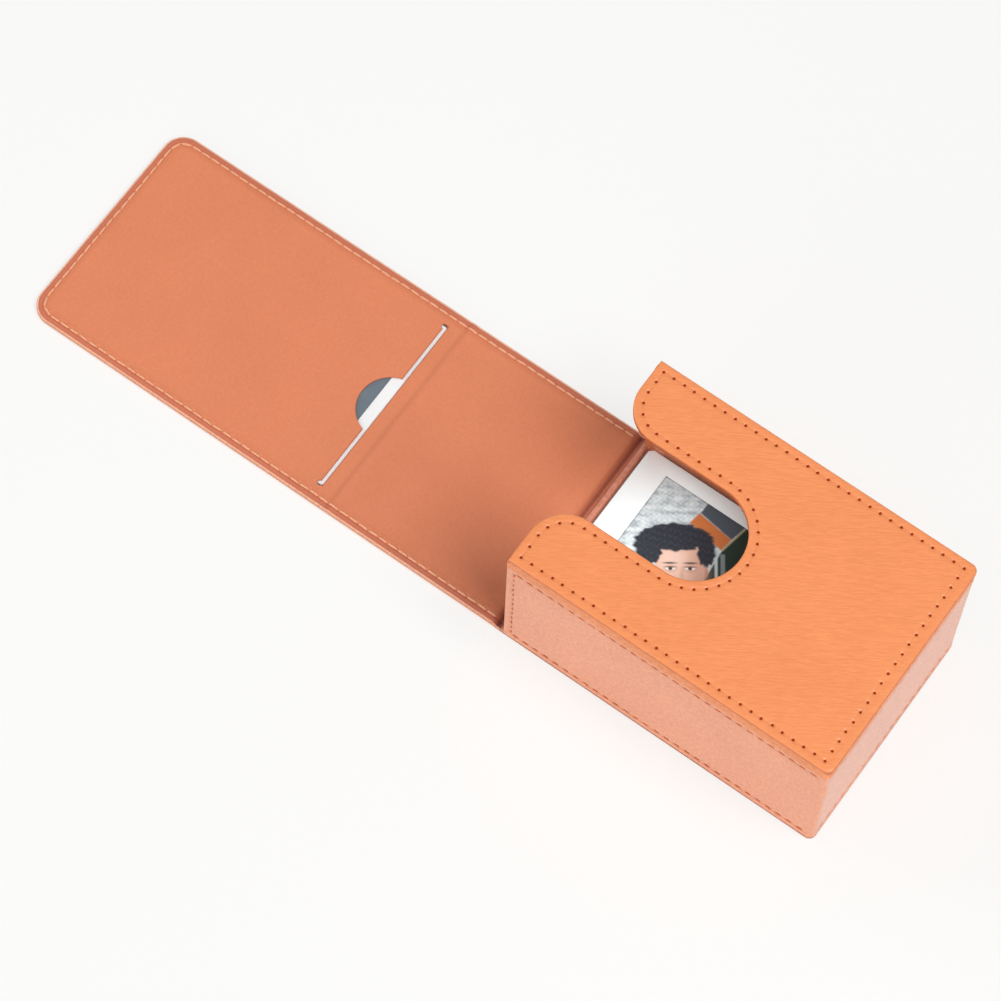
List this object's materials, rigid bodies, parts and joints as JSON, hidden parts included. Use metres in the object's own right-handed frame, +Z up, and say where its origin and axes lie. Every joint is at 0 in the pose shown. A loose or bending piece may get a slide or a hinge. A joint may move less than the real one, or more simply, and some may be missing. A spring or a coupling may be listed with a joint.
{
  "type": "photo storage box",
  "caption": "Leather-covered card box for small instant prints, open at one end, with a finger notch in its top, and a folding flap with a print pocket.",
  "frame": {"origin": "middle of the box's underside, on the surface that it stands on", "axes": "+Z up, +X from the mouth to the closed end, +Y to the box's left long wall; the open flap lies along -X"},
  "size_m": [0.243, 0.0644, 0.051],
  "materials": {
    "outer_leather": "orange leather with a fine cross grain, satin",
    "lining": "smooth matt brown-orange leather",
    "thread": "peach sewing thread",
    "board": "plain grey board",
    "print_card": "white semi-gloss print border",
    "print_picture": "glossy picture film",
    "magnet": "plated, plain"
  },
  "bodies": {
    "box": {"base_skin": "outer_leather", "base_board": "board", "near_wall_board": "board", "far_wall_board": "board", "end_wall_board": "board", "gusset_skin": "outer_leather", "gusset_stitches": "thread", "near_wall_lining": "lining", "far_wall_lining": "lining", "end_wall_lining": "lining", "floor_lining": "lining", "mouth_sill": "outer_leather", "top_panel_skin": "outer_leather", "top_panel_board": "board", "top_panel_lining": "lining", "top_panel_magnets": "magnet", "top_panel_stitches": "thread"},
    "spine": {"spine_skin": "outer_leather", "spine_board": "board", "spine_lining": "lining", "spine_stitches": "thread", "mouth_crease_skin": "outer_leather", "mouth_crease_lining": "lining", "top_crease_skin": "outer_leather", "top_crease_lining": "lining"},
    "cover": {"cover_skin": "outer_leather", "cover_board": "board", "cover_pocket_spacers": "board", "cover_lining": "lining", "cover_stitches": "thread", "cover_magnets": "magnet"},
    "pocket_print": {"pocket_print_card": "print_card", "pocket_print_picture": "print_picture"},
    "tray_print": {"tray_print_card": "print_card", "tray_print_picture": "print_picture"},
    "lower_print": {"lower_print_card": "print_card", "lower_print_picture": "print_picture"}
  },
  "joints": [
    {"name": "mouth_crease", "type": "hinge", "parent": "box", "child": "spine", "pos_m": [-0.0486, 0, 0.0011], "axis": [0, 1, 0], "range_deg": [0, 90], "deforming": ["mouth_crease_skin", "mouth_crease_lining"]},
    {"name": "top_crease", "type": "hinge", "parent": "spine", "child": "cover", "pos_m": [-0.1007, 0, 0.00035], "axis": [0, 1, 0], "range_deg": [0, 90], "deforming": ["top_crease_skin", "top_crease_lining"]},
    {"name": "pocket_print_slide", "type": "slide", "parent": "cover", "child": "pocket_print", "axis": [1, 0, 0], "range_m": [-0.0045, 0]},
    {"name": "tray_print_slide", "type": "slide", "parent": "box", "child": "tray_print", "axis": [1, 0, 0], "range_m": [-0.086, 0]},
    {"name": "lower_print_slide", "type": "slide", "parent": "box", "child": "lower_print", "axis": [1, 0, 0], "range_m": [-0.086, 0]}
  ]
}
